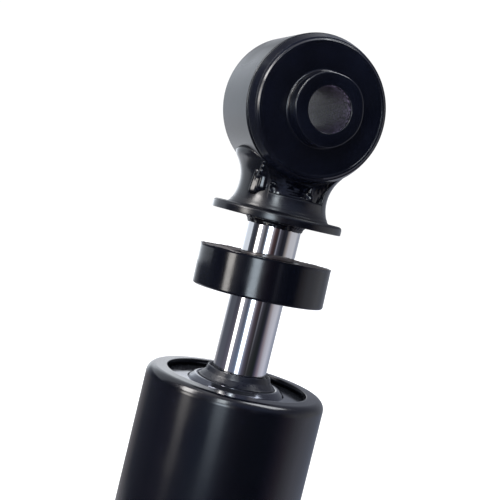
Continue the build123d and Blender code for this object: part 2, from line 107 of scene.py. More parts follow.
# --- shapes that the frame's boxes don't give ------------------------------------
RING_BORE_R = 13.9 * MM
FLANGE_R = 16.44 * MM
FACE_R = 14.9 * MM
FACE_Y = 11.03 * MM
HUB_R = 8.15 * MM
MOUTH_R = 5.08 * MM
BORE_R = 5.0 * MM
SHELL_WALL = 1.8 * MM
RIM_R = 16.5 * MM
RIM_RISE = 0.3 * MM
RECESS = 1.6 * MM
BOSS_R = 11.0 * MM
LIP_BASE_R = 8.7 * MM
LIP_TOP_R = 7.37 * MM
NECK_R = 10.3 * MM
NECK_Z = EYE_Z["upper"] - 19.2 * MM
NECK_CURVE_R = 9.2 * MM
NOTCH_Z = EYE_Z["upper"] - 20.0 * MM
EAR_BEND_Z = EYE_Z["upper"] - 13.4 * MM
EAR_TIP_Z = EYE_Z["upper"] - 10.9 * MM
EAR_BULGE = 0.40 * MM
EAR_TUCK = 0.45 * MM
FLANGE_THICKNESS = 2.0 * MM
SEAL_R = 17 * MM
GROOVE_OUTER_R = 10.6 * MM
GROOVE_INNER_R = 8.2 * MM
STOP_SIDE_R = STOP_R + 0.08 * MM
STOP_BORE_R = ROD_R + 0.34 * MM
STOP_NOD = math.radians(1.2)
STOP_SHIFT = 0.20 * MM
STOP_SAG = 0.30 * MM
SPRING_WIRE_R = 0.3 * MM

# --- steps round the uneven pieces and the springs ----------------------------------
SEAM_RIPPLES = 96
SEAM_STEPS = 10 * SEAM_RIPPLES
STOP_STEPS = 480
COLLAR_STEPS = 720
ROD_WELD_STEPS = 360
COIL_STEPS = 96
WIRE_SIDES = 12
SMOOTHING_ROUNDS = 5

# --- the studio -------------------------------------------------------------------
VIEW_AZIMUTH = math.radians(-21.64)
VIEW_RISE_DEGREES = 3.13
VIEW_ROLL = math.radians(13.69)
VIEW_DISTANCE = 0.2134
VIEW_TARGET = Vector((-3.89 * MM, 1.54 * MM, EYE_Z["upper"] - 33.95 * MM))
LENS = 66.82
BRIGHTEST = 12.0
# Light that comes from all round: bearing from the camera's side in degrees, growing
# to the camera's right, and its colour. There is one table for each height: around the
# horizon, below it, near the floor, above it and overhead.
EYE_LEVEL = (
    (-180, (1.25, 1.28, 1.35)),
    (-157, (1.3, 1.38, 1.48)),
    (-149, (0.50, 0.54, 0.60)),
    (-138, (0.32, 0.35, 0.40)),
    (-130, (0.12, 0.13, 0.16)),
    (-122, (0.09, 0.10, 0.12)),
    (-93, (0.10, 0.11, 0.13)),
    (-86, (0.05, 0.053, 0.067)),
    (-74, (0.03, 0.034, 0.046)),
    (-68, (0.18, 0.17, 0.17)),
    (-47, (0.47, 0.48, 0.52)),
    (-42, (0.28, 0.28, 0.32)),
    (-37, (0.16, 0.16, 0.18)),
    (-32, (0.064, 0.066, 0.078)),
    (-28, (0.09, 0.10, 0.134)),
    (-23, (0.26, 0.29, 0.35)),
    (0, (0.55, 0.52, 0.55)),
    (5, (0.25, 0.22, 0.25)),
    (9, (0.095, 0.064, 0.07)),
    (17, (0.045, 0.026, 0.027)),
    (24, (0.04, 0.034, 0.041)),
    (28, (0.30, 0.30, 0.36)),
    (32, (0.07, 0.07, 0.09)),
    (47, (0.017, 0.017, 0.024)),
    (62, (0.024, 0.026, 0.038)),
    (73, (0.31, 0.28, 0.27)),
    (86, (0.54, 0.54, 0.58)),
    (118, (0.58, 0.59, 0.63)),
    (134, (0.34, 0.36, 0.42)),
    (180, (0.34, 0.36, 0.42)),
)
# Two narrow lit strips on the camera's left and front, only near eye level.
STRIPS = (
    (-66, (0, 0, 0)),
    (-62, (10.5, 10.1, 9.6)),
    (-54, (10.5, 10.1, 9.6)),
    (-50, (0, 0, 0)),
    (-21.5, (0, 0, 0)),
    (-17, (8.0, 9.2, 10.2)),
    (-7, (8.0, 9.2, 10.2)),
    (-2.5, (0, 0, 0)),
)
LOW = (
    (-180, (0.40, 0.40, 0.42)),
    (-138, (0.28, 0.27, 0.29)),
    (-129, (0.12, 0.13, 0.16)),
    (-90, (0.09, 0.09, 0.12)),
    (-70, (0.16, 0.15, 0.20)),
    (-48, (0.16, 0.17, 0.24)),
    (-30, (0.15, 0.19, 0.28)),
    (-3, (0.26, 0.31, 0.43)),
    (8, (0.10, 0.10, 0.14)),
    (24, (0.03, 0.03, 0.03)),
    (56, (0.015, 0.02, 0.02)),
    (68, (0.08, 0.07, 0.12)),
    (80, (0.25, 0.20, 0.25)),
    (93, (0.48, 0.48, 0.55)),
    (110, (0.60, 0.61, 0.72)),
    (128, (0.42, 0.45, 0.55)),
    (150, (0.26, 0.29, 0.38)),
    (180, (0.40, 0.40, 0.42)),
)
TABLE = (
    (-180, (1.4, 1.45, 1.55)),
    (-128, (1.3, 1.35, 1.45)),
    (-120, (0.15, 0.16, 0.18)),
    (-60, (0.06, 0.06, 0.08)),
    (60, (0.06, 0.06, 0.08)),
    (100, (0.30, 0.30, 0.38)),
    (150, (0.5, 0.5, 0.6)),
    (180, (1.2, 1.25, 1.3)),
)
HIGH = (
    (-180, (0.50, 0.52, 0.58)),
    (-172, (0.40, 0.41, 0.46)),
    (-150, (0.16, 0.16, 0.20)),
    (-110, (0.16, 0.16, 0.20)),
    (-70, (0.20, 0.20, 0.27)),
    (-40, (0.16, 0.17, 0.28)),
    (-10, (0.20, 0.22, 0.40)),
    (45, (0.32, 0.38, 0.56)),
    (80, (0.25, 0.25, 0.34)),
    (150, (0.25, 0.26, 0.32)),
    (177, (0.3, 0.32, 0.4)),
    (180, (0.50, 0.52, 0.58)),
)
CEILING = (
    (-180, (2.0, 2.1, 2.3)),
    (-90, (1.2, 1.2, 1.3)),
    (0, (0.5, 0.5, 0.6)),
    (90, (0.4, 0.4, 0.5)),
    (180, (2.0, 2.1, 2.3)),
)


# --- settings a user would change ---------------------------------------------------
class ShockSizes(PropertyGroup):
    """Sizes of the details that are free to change within the frame."""

    segments: IntProperty(name="Segments", description="Steps round each turned piece",
                          default=224, min=32, max=512)
    edge: FloatProperty(name="Edge rounding", description="Rounding of the painted steel's edges",
                        default=0.35 * MM, min=0.05 * MM, max=1.0 * MM, unit="LENGTH")
    flash: FloatProperty(name="Moulding flash", description="Flash on the bump stop's rim",
                         default=0.28 * MM, min=0.0, max=1.0 * MM, unit="LENGTH")
    stop_lean: FloatProperty(name="Bump stop lean", description="How far the stop sits askew",
                             default=math.radians(1.3), min=0.0, max=math.radians(2),
                             unit="ROTATION")
    weld_grain: FloatProperty(name="Weld grain", description="Smallest lumps in the welds",
                              default=0.20 * MM, min=0.08 * MM, max=0.5 * MM, unit="LENGTH")


class ShockFinish(PropertyGroup):
    """Colours and gloss of the finishes."""

    paint: FloatVectorProperty(name="Paint", description="Enamel on the tube, collar and rings",
                               subtype="COLOR", default=(0.0011, 0.0014, 0.0032), min=0, max=1)
    rubber: FloatVectorProperty(name="Rubber", description="Bush rubber",
                                subtype="COLOR", default=(0.0014, 0.0018, 0.0040), min=0, max=1)
    stop_top: FloatVectorProperty(name="Bump stop top", description="Dusty top of the bump stop",
                                  subtype="COLOR", default=(0.060, 0.040, 0.034), min=0, max=1)
    chrome: FloatVectorProperty(name="Chrome", description="Piston rod",
                                subtype="COLOR", default=(0.80, 0.80, 0.82), min=0, max=1)
    plate: FloatVectorProperty(name="Seal plate", description="Plate at the tube's top",
                               subtype="COLOR", default=(0.085, 0.09, 0.108), min=0, max=1)
    bore: FloatVectorProperty(name="Sleeve bore", description="Phosphated bore of the sleeves",
                              subtype="COLOR", default=(0.034, 0.028, 0.044), min=0, max=1)
    paint_roughness: FloatProperty(name="Paint roughness", description="Roughness of the enamel",
                                   default=0.17, min=0.05, max=1.0, subtype="FACTOR")


def sizes():
    """The scene's ShockSizes."""
    return bpy.context.scene.shock_sizes


def finish():
    """The scene's ShockFinish."""
    return bpy.context.scene.shock_finish


# --- meshes -----------------------------------------------------------------------
def rounded(corners, steps=7):
    """Closed outline through (across, along, rounding) corners."""
    outline = []
    for index, (across, along, rounding) in enumerate(corners):
        here = Vector((across, along))
        if rounding == 0:
            outline.append((here.x, here.y))
            continue
        back = (Vector(corners[index - 1][:2]) - here).normalized()
        ahead = (Vector(corners[(index + 1) % len(corners)][:2]) - here).normalized()
        opening = back.angle(ahead)
        centre = here + (back + ahead).normalized() * rounding / math.sin(opening / 2)
        reach = rounding / math.tan(opening / 2)
        first = here + back * reach - centre
        last = here + ahead * reach - centre
        sweep = first.angle(last)
        for step in range(steps + 1):
            part = step / steps
            spoke = first * math.sin((1 - part) * sweep) + last * math.sin(part * sweep)
            point = centre + spoke / math.sin(sweep)
            outline.append((point.x, point.y))
    return outline


def upright(angle, radius, along):
    """Point at an angle from the front, round the damper's axis."""
    return Vector((radius * math.sin(angle), -radius * math.cos(angle), along))


def round_bolt(centre_z):
    """Point at an angle from the top, round an eye's bolt."""
    def place(angle, radius, along):
        return Vector((radius * math.sin(angle), along, centre_z + radius * math.cos(angle)))
    return place


def turned(name, outline, place=upright, warp=None, count=None):
    """Turned piece with a closed outline of (radius, along) points, in `count` steps."""
    count = count or sizes().segments
    mesh = bmesh.new()
    columns = []
    for step in range(count):
        angle = math.tau * step / count
        points = outline(angle) if callable(outline) else outline
        if warp:
            points = [warp(angle, *point) for point in points]
        columns.append([mesh.verts.new(place(angle, *point)) for point in points])
    rows = len(columns[0])
    for step, column in enumerate(columns):
        following = columns[(step + 1) % count]
        for row in range(rows):
            after = (row + 1) % rows
            mesh.faces.new((column[row], following[row], following[after], column[after]))
    bmesh.ops.remove_doubles(mesh, verts=mesh.verts, dist=1e-7)
    bmesh.ops.recalc_face_normals(mesh, faces=mesh.faces)
    return shaded(name, mesh)


def placed(name, mesh):
    """Smooth-shaded scene object of a mesh."""
    data = bpy.data.meshes.new(name)
    mesh.to_mesh(data)
    mesh.free()
    data.shade_smooth()
    piece = bpy.data.objects.new(name, data)
    bpy.context.scene.collection.objects.link(piece)
    return piece


def shaded(name, mesh):
    """Scene object with smooth shading that keeps flat faces flat."""
    piece = placed(name, mesh)
    weights = piece.modifiers.new("even_shading", "WEIGHTED_NORMAL")
    weights.keep_sharp = True
    return piece


def fused(name, balls):
    """One lumpy skin over (centre, radii) balls."""
    mesh = bmesh.new()
    for centre, radii in balls:
        shape = Matrix.Translation(centre) @ Matrix.Diagonal((*radii, 1))
        bmesh.ops.create_icosphere(mesh, subdivisions=2, radius=1.0, matrix=shape)
    weld = placed(name, mesh)
    loose_balls = weld.data
    skin = weld.modifiers.new("skin", "REMESH")
    skin.mode = "VOXEL"
    skin.voxel_size = sizes().weld_grain
    ease = weld.modifiers.new("ease", "SMOOTH")
    ease.factor = 0.5
    ease.iterations = SMOOTHING_ROUNDS
    evaluated = weld.evaluated_get(bpy.context.evaluated_depsgraph_get())
    weld.data = bpy.data.meshes.new_from_object(evaluated)
    weld.modifiers.clear()
    weld.data.name = name
    weld.data.shade_smooth()
    bpy.data.meshes.remove(loose_balls)
    return weld


def wound(name, coil_r, wire_r, low, high, turns):
    """Coil spring of round wire, standing on Z between two heights."""
    mesh = bmesh.new()
    count = COIL_STEPS * turns
    climb = (high - low - 2 * wire_r) / count
    slope = climb * count / (math.tau * turns * coil_r)
    sides = [math.tau * side / WIRE_SIDES for side in range(WIRE_SIDES)]
    rings = []
    for step in range(count + 1):
        angle = math.tau * turns * step / count
        out = Vector((math.cos(angle), math.sin(angle), 0))
        along = Vector((-math.sin(angle), math.cos(angle), slope)).normalized()
        middle = out * coil_r + Vector((0, 0, low + wire_r + climb * step))
        across = along.cross(out)
        rings.append([mesh.verts.new(middle + (out * math.cos(a) + across * math.sin(a)) * wire_r)
                      for a in sides])
    for ring, following in zip(rings, rings[1:]):
        for side in range(WIRE_SIDES):
            after = (side + 1) % WIRE_SIDES
            mesh.faces.new((ring[side], following[side], following[after], ring[after]))
    mesh.faces.new(rings[0])
    mesh.faces.new(rings[-1])
    bmesh.ops.recalc_face_normals(mesh, faces=mesh.faces)
    return shaded(name, mesh)


def dress(piece, material):
    """Gives a piece one material."""
    piece.data.materials.clear()
    piece.data.materials.append(material)


def fit(piece, fill, body, slot, *nodes):
    """Gives a piece its finish and its CAD body, and hides the CAD nodes it stands for."""
    dress(piece, finished(fill))
    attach(piece, body)
    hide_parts(*nodes)


# --- materials ----------------------------------------------------------------------
def finished(fill, *values, name=None):
    """The node material that a function fills in, made the first time it is asked for."""
    name = name or fill.__name__
    if name not in bpy.data.materials:
        material = bpy.data.materials.new(name)
        material.use_nodes = True
        tree = material.node_tree
        place = tree.nodes.new("ShaderNodeTexCoord").outputs["Object"]
        fill(tree, tree.nodes["Principled BSDF"], place, *values)
    return bpy.data.materials[name]


def grain(tree, place, scale, detail=3.0, stretch=(1, 1, 1)):
    """Noise with `scale` features per metre, stretched along the axes."""
    mapping = tree.nodes.new("ShaderNodeMapping")
    mapping.inputs["Scale"].default_value = stretch
    tree.links.new(place, mapping.inputs["Vector"])
    texture = tree.nodes.new("ShaderNodeTexNoise")
    texture.inputs["Scale"].default_value = scale
    texture.inputs["Detail"].default_value = detail
    tree.links.new(mapping.outputs["Vector"], texture.inputs["Vector"])
    return texture.outputs["Fac"]


def spread(tree, value, low, high, start=0.0, end=1.0):
    """Maps a value from start..end to low..high."""
    remap = tree.nodes.new("ShaderNodeMapRange")
    remap.inputs["From Min"].default_value = start
    remap.inputs["From Max"].default_value = end
    remap.inputs["To Min"].default_value = low
    remap.inputs["To Max"].default_value = high
    tree.links.new(value, remap.inputs["Value"])
    return remap.outputs["Result"]


def blend_colours(tree, factor, first, second):
    """Mix of two colours, each a constant or another node's output."""
    mix = tree.nodes.new("ShaderNodeMix")
    mix.data_type = "RGBA"
    tree.links.new(factor, mix.inputs["Factor"])
    for socket, colour in ((mix.inputs[6], first), (mix.inputs[7], second)):
        if isinstance(colour, bpy.types.NodeSocket):
            tree.links.new(colour, socket)
        else:
            socket.default_value = (*colour, 1.0)
    return mix.outputs[2]


def relief(tree, shader, layers):
    """Chains (height, strength, depth) layers of bump into the shader's normal."""
    normal = None
    for height, strength, depth in layers:
        bump = tree.nodes.new("ShaderNodeBump")
        bump.inputs["Strength"].default_value = strength
        bump.inputs["Distance"].default_value = depth
        tree.links.new(height, bump.inputs["Height"])
        if normal is not None:
            tree.links.new(normal, bump.inputs["Normal"])
        normal = bump.outputs["Normal"]
    tree.links.new(normal, shader.inputs["Normal"])


def facing_up(tree, start, end):
    """How far a surface faces up, where dust settles: 0 at `start` to 1 at `end`."""
    parts = tree.nodes.new("ShaderNodeSeparateXYZ")
    surface = tree.nodes.new("ShaderNodeNewGeometry")
    tree.links.new(surface.outputs["Normal"], parts.inputs["Vector"])
    return spread(tree, parts.outputs["Z"], 0.0, 1.0, start, end)


def colour_by(tree, shader, factor, first, second):
    """Base colour from `first` to `second` as a factor goes from 0 to 1."""
    tree.links.new(blend_colours(tree, factor, first, second), shader.inputs["Base Color"])


def roughen(tree, shader, value, low, high, start=0.3, end=0.7):
    """Roughness from `low` to `high` as a value goes from `start` to `end`."""
    rough = spread(tree, value, low, high, start, end)
    tree.links.new(rough, shader.inputs["Roughness"])
    return rough


def lighter(colour, factor):
    """A colour with each channel multiplied, up to 1."""
    return tuple(min(1.0, channel * factor) for channel in colour)


def enamel(tree, shader, place, rough):
    """Blue-black paint with a faint orange peel, dust and rubbed patches."""
    base = tuple(finish().paint)
    clouds = grain(tree, place, 60, 4)
    dust = spread(tree, grain(tree, place, 1500, 1), 0.0, 1.0, 0.72, 0.80)
    cloudy = blend_colours(tree, clouds, base, lighter(base, 1.5))
    colour_by(tree, shader, dust, cloudy, lighter(base, 6))
    peel = grain(tree, place, 700, 2)
    grit = grain(tree, place, 4200, 2)
    relief(tree, shader, ((peel, 0.10, 0.05 * MM), (grit, 0.05, 0.02 * MM)))
    return roughen(tree, shader, grain(tree, place, 140, 5), rough - 0.03, rough + 0.05)


def gloss_enamel(tree, shader, place):
    """The paint as it is on the body."""
    shader.inputs["IOR"].default_value = 1.5
    enamel(tree, shader, place, finish().paint_roughness)


def satin_enamel(tree, shader, place):
    """The paint as it is on the collar and rings, dulled by dust where it faces up."""
    shader.inputs["IOR"].default_value = 1.56
    patches = enamel(tree, shader, place, finish().paint_roughness + 0.03)
    dulled = facing_up(tree, 0.24, 0.66)
    rough = calculate(tree, "MULTIPLY_ADD", dulled, 0.22, patches)
    tree.links.new(rough, shader.inputs["Roughness"])
    tree.links.new(spread(tree, dulled, 0.5, 0.16), shader.inputs["Specular IOR Level"])


def run_enamel(tree, shader, place):
    """The same paint, run thick and glossy over rough weld."""
    base = tuple(finish().paint)
    spots = spread(tree, grain(tree, place, 1300, 2), 0.0, 1.0, 0.62, 0.72)
    colour_by(tree, shader, spots, base, lighter(base, 3))
    roughen(tree, shader, grain(tree, place, 600, 4), 0.08, 0.18, 0.35, 0.65)
    relief(tree, shader, ((grain(tree, place, 900, 3), 0.12, 0.10 * MM),))


def moulded_rubber(tree, shader, place):
    """Smooth moulded rubber, a little dusty."""
    base = tuple(finish().rubber)
    bloom = spread(tree, grain(tree, place, 90, 6), 0.0, 1.0, 0.35, 0.75)
    colour_by(tree, shader, bloom, base, lighter(base, 2.2))
    roughen(tree, shader, grain(tree, place, 220, 4), 0.13, 0.20)
    skin = grain(tree, place, 900, 3)
    pores = grain(tree, place, 5200, 2)
    relief(tree, shader, ((skin, 0.12, 0.06 * MM), (pores, 0.08, 0.02 * MM)))


def dusty_rubber(tree, shader, place):
    """Semi-gloss rubber with a brown, dusty top."""
    level = facing_up(tree, 0.55, 0.95)
    streaks = spread(tree, grain(tree, place, 500, 5), 0.35, 1.0, 0.3, 0.65)
    dusty = calculate(tree, "MULTIPLY", level, streaks)
    colour_by(tree, shader, dusty, tuple(finish().rubber), tuple(finish().stop_top))
    tree.links.new(spread(tree, level, 0.5, 0.08), shader.inputs["Specular IOR Level"])
    gloss = spread(tree, grain(tree, place, 260, 4), 0.11, 0.18, 0.3, 0.7)
    tree.links.new(calculate(tree, "MULTIPLY_ADD", level, 0.4, gloss), shader.inputs["Roughness"])
    skin = grain(tree, place, 650, 3)
    pores = grain(tree, place, 4200, 2)
    relief(tree, shader, ((skin, 0.15, 0.08 * MM), (pores, 0.08, 0.02 * MM)))


def oiled_rubber(tree, shader, place):
    """Oiled seal rubber."""
    base = tuple(finish().rubber)
    colour_by(tree, shader, grain(tree, place, 300, 5), base, lighter(base, 4))
    roughen(tree, shader, grain(tree, place, 700, 4), 0.26, 0.50)
    relief(tree, shader, ((grain(tree, place, 1400, 3), 0.25, 0.08 * MM),))


def hard_chrome(tree, shader, place):
    """Ground and chromed bar: a mirror with faint rings."""
    base = tuple(finish().chrome)
    shader.inputs["Metallic"].default_value = 1.0
    colour_by(tree, shader, grain(tree, place, 120, 4), base, lighter(base, 0.94))
    rings = grain(tree, place, 60, 4, stretch=(1, 1, 60))
    roughen(tree, shader, rings, 0.03, 0.075)
    relief(tree, shader, ((rings, 0.015, 0.01 * MM),))


def polished_plate(tree, shader, place):
    """Dark plated steel with turning rings."""
    base = tuple(finish().plate)
    shader.inputs["Metallic"].default_value = 0.85
    flat = tree.nodes.new("ShaderNodeVectorMath")
    flat.operation = "MULTIPLY"
    flat.inputs[1].default_value = (1, 1, 0)
    tree.links.new(place, flat.inputs[0])
    away = tree.nodes.new("ShaderNodeVectorMath")
    away.operation = "LENGTH"
    tree.links.new(flat.outputs["Vector"], away.inputs[0])
    rings = tree.nodes.new("ShaderNodeTexNoise")
    rings.noise_dimensions = "1D"
    rings.inputs["Scale"].default_value = 3500
    tree.links.new(away.outputs["Value"], rings.inputs["W"])
    stain = grain(tree, place, 200, 5)
    colour_by(tree, shader, stain, lighter(base, 0.7), lighter(base, 1.3))
    roughen(tree, shader, stain, 0.09, 0.17)
    relief(tree, shader, ((rings.outputs["Fac"], 0.04, 0.02 * MM),))


def phosphated_bore(tree, shader, place):
    """Mottled grey-purple steel inside a sleeve."""
    base = tuple(finish().bore)
    shader.inputs["Specular IOR Level"].default_value = 0.13
    mottle = spread(tree, grain(tree, place, 2300, 3), 0.0, 1.0, 0.44, 0.62)
    colour_by(tree, shader, mottle, lighter(base, 0.10), lighter(base, 3.2))
    roughen(tree, shader, mottle, 0.34, 0.55, 0.0, 1.0)
    relief(tree, shader, ((grain(tree, place, 2600, 4), 0.8, 0.18 * MM),))


def plain_metal(tree, shader, place, colour, roughness, scale, dark=0.7, metallic=1.0):
    """Machined, blued or sintered metal of the inner pieces."""
    shader.inputs["Metallic"].default_value = metallic
    tone = grain(tree, place, scale, 5)
    colour_by(tree, shader, tone, lighter(colour, dark), colour)
    roughen(tree, shader, tone, roughness - 0.06, roughness + 0.08)
    relief(tree, shader, ((grain(tree, place, 3 * scale, 3), 0.12, 0.03 * MM),))


def blued_spring_steel(tree, shader, place):
    """Blued wire and thin discs."""
    plain_metal(tree, shader, place, (0.22, 0.24, 0.32), 0.30, 400)


# --- operators: one for each piece or group of like pieces --------------------------------
class SHOCK_OT_stage(Operator):
    """Camera, floor, backdrop and studio light"""

    bl_idname = "shock.stage"
    bl_label = "Stage"

    def execute(self, context):
        scene = context.scene
        scene.view_settings.view_transform = "Standard"
        add_camera(scene)
        add_surroundings()
        add_world(scene)
        add_lamps(scene)
        return {"FINISHED"}


def add_camera(scene):
    """Camera on the studio's front left, rolled so that the shock leans."""
    back = towards(0, VIEW_RISE_DEGREES)
    level = Vector((math.cos(VIEW_AZIMUTH), math.sin(VIEW_AZIMUTH), 0))
    upward = back.cross(level)
    right = level * math.cos(VIEW_ROLL) + upward * math.sin(VIEW_ROLL)
    up = upward * math.cos(VIEW_ROLL) - level * math.sin(VIEW_ROLL)
    data = bpy.data.cameras.new("camera")
    data.lens = LENS
    data.sensor_width = 36
    data.clip_start = 0.01
    camera = bpy.data.objects.new("camera", data)
    place = Matrix((right, up, back)).transposed().to_4x4()
    place.translation = VIEW_TARGET + back * VIEW_DISTANCE
    camera.matrix_world = place
    scene.collection.objects.link(camera)
    scene.camera = camera


def glow_material(name, strength, grey):
    """White, partly self-lit material for the floor and backdrop."""
    material = bpy.data.materials.new(name)
    material.use_nodes = True
    shader = material.node_tree.nodes["Principled BSDF"]
    shader.inputs["Base Color"].default_value = (grey, grey, grey, 1)
    shader.inputs["Roughness"].default_value = 0.9
    shader.inputs["Specular IOR Level"].default_value = 0.0
    shader.inputs["Emission Color"].default_value = (1, 1, 1, 1)
    shader.inputs["Emission Strength"].default_value = strength
    return material


def add_surroundings():
    """Pale floor under the shock and a white dome behind everything."""
    reach = 5.0
    floor = bmesh.new()
    bmesh.ops.create_circle(floor, cap_ends=True, segments=96, radius=reach,
                            matrix=Matrix.Translation((0, 0, FLOOR_Z)))
    dome = bmesh.new()
    bmesh.ops.create_uvsphere(dome, u_segments=64, v_segments=32, radius=reach)
    for name, mesh, material in (
        ("floor", floor, glow_material("floor", 1.02, 0.5)),
        ("backdrop", dome, glow_material("backdrop", 1.05, 0.0)),
    ):
        piece = placed(name, mesh)
        dress(piece, material)
        piece.visible_glossy = False
        if name == "backdrop":
            piece.visible_diffuse = False
            piece.visible_shadow = False


def calculate(tree, operation, *values):
    """Math node over numbers and outputs of other nodes."""
    node = tree.nodes.new("ShaderNodeMath")
    node.operation = operation
    for socket, value in zip(node.inputs, values):
        if isinstance(value, bpy.types.NodeSocket):
            tree.links.new(value, socket)
        else:
            socket.default_value = value
    return node.outputs[0]


def card_band(tree, share, cards):
    """Colour by bearing, from a table of cards."""
    band = tree.nodes.new("ShaderNodeValToRGB")
    tree.links.new(share, band.inputs["Fac"])
    stops = band.color_ramp.elements
    while len(stops) < len(cards):
        stops.new(1.0)
    for stop, (degrees, light) in zip(stops, cards):
        stop.position = (degrees + 180) / 360
        stop.color = (*(channel / BRIGHTEST for channel in light), 1)
    return band.outputs["Color"]


def add_world(scene):
    """Upright cards all round, lit strips at eye level and a grey ceiling."""
    world = bpy.data.worlds.new("studio")
    scene.world = world
    world.use_nodes = True
    tree = world.node_tree
    parts = tree.nodes.new("ShaderNodeSeparateXYZ")
    tree.links.new(tree.nodes.new("ShaderNodeTexCoord").outputs["Generated"], parts.inputs[0])
    east, north, height = parts.outputs
    bearing = calculate(tree, "ARCTAN2", east, calculate(tree, "MULTIPLY", north, -1.0))
    from_back = calculate(tree, "SUBTRACT", bearing, VIEW_AZIMUTH - math.pi)
    share = calculate(tree, "FRACT", calculate(tree, "DIVIDE", from_back, math.tau))
    above_floor = calculate(tree, "POWER", spread(tree, height, 0.0, 1.0, -0.34, -0.05), 2.0)
    below_eye = spread(tree, height, 1.0, 0.0, 0.03, 0.40)
    level = calculate(tree, "MULTIPLY", above_floor, below_eye)
    lit = tree.nodes.new("ShaderNodeVectorMath")
    lit.operation = "SCALE"
    tree.links.new(card_band(tree, share, STRIPS), lit.inputs[0])
    tree.links.new(level, lit.inputs["Scale"])
    light = card_band(tree, share, EYE_LEVEL)
    for table, start, end in ((LOW, -0.07, -0.20), (TABLE, -0.32, -0.45), (HIGH, 0.20, 0.62),
                              (CEILING, 0.80, 0.95)):
        reached = spread(tree, height, 0.0, 1.0, start, end)
        light = blend_colours(tree, reached, light, card_band(tree, share, table))
    total = tree.nodes.new("ShaderNodeVectorMath")
    total.operation = "ADD"
    tree.links.new(light, total.inputs[0])
    tree.links.new(lit.outputs[0], total.inputs[1])
    sky = tree.nodes["Background"]
    tree.links.new(total.outputs[0], sky.inputs["Color"])
    sky.inputs["Strength"].default_value = BRIGHTEST


def towards(bearing, rise):
    """Direction at a bearing from the camera's side and a rise above the horizon, in degrees."""
    azimuth = VIEW_AZIMUTH + math.radians(bearing)
    rise = math.radians(rise)
    level = math.cos(rise)
    return Vector((math.sin(azimuth) * level, -math.cos(azimuth) * level, math.sin(rise)))


def add_lamps(scene):
    """Long soft boxes on the left and the front, a wide one overhead and a card near the eye."""
    near_eye = Vector((0, 0, EYE_Z["upper"] + 15 * MM))
    lamps = (
        ("side_box", VIEW_TARGET, (-60, 22), (-86, 56), 1.1, 0.26, 17.0, (1.0, 0.97, 0.95)),
        ("front_box", VIEW_TARGET, (-13, 20), (-15, 58), 1.1, 0.18, 12.0, (0.88, 0.96, 1.0)),
        ("top_box", VIEW_TARGET, (100, 54), (130, 80), 1.3, 0.5, 9.0, (0.95, 0.98, 1.0)),
        ("near_card", near_eye, (-134, -37), (-134, 37), 0.08, 0.13, 0.78, (0.88, 0.94, 1.0)),
    )
    for name, centre, first, last, away, width, radiance, colour in lamps:
        first = towards(*first)
        last = towards(*last)
        out = (first + last).normalized()
        height = 2 * away * math.tan(first.angle(last) / 2)
        along = (last - first).normalized()
        data = bpy.data.lights.new(name, "AREA")
        data.shape = "RECTANGLE"
        data.size = width
        data.size_y = height
        data.energy = radiance * width * height * math.pi
        data.color = colour
        lamp = bpy.data.objects.new(name, data)
        lamp.visible_camera = False
        placing = Matrix((along.cross(out), along, out)).transposed().to_4x4()
        placing.translation = centre + out * away
        lamp.matrix_world = placing
        scene.collection.objects.link(lamp)


class SHOCK_OT_reserve_tube(Operator):
    """Painted body tube with its top rolled in"""

    bl_idname = "shock.reserve_tube"
    bl_label = "Reserve tube"

    def execute(self, context):
        inner = SHELL_R - SHELL_WALL
        plate_z = RIM_Z - RECESS
        corners = (
            (inner, SHELL_BOTTOM, 0),
            (SHELL_R, SHELL_BOTTOM, 0.2 * MM),
            (SHELL_R, RIM_Z - RIM_RISE, 2.2 * MM),
            (RIM_R + 0.6 * MM, RIM_Z - 0.02 * MM, 0.5 * MM),
            (RIM_R, RIM_Z - 0.07 * MM, 0.18 * MM),
            (RIM_R, plate_z, 0),
            (inner, plate_z, 0),
        )
        outline = rounded(corners, 10)
        rows = 24
        top = next(index for index, point in enumerate(outline) if point[1] > RIM_Z - 4 * MM)
        low, high = outline[top - 1][1], outline[top][1]
        outline[top:top] = [(SHELL_R, low + (high - low) * row / rows) for row in range(1, rows)]
        piece = turned("reserve_tube_shell", outline)
        fit(piece, gloss_enamel, "cylinder", "black_paint", "reserve_tube")
        return {"FINISHED"}


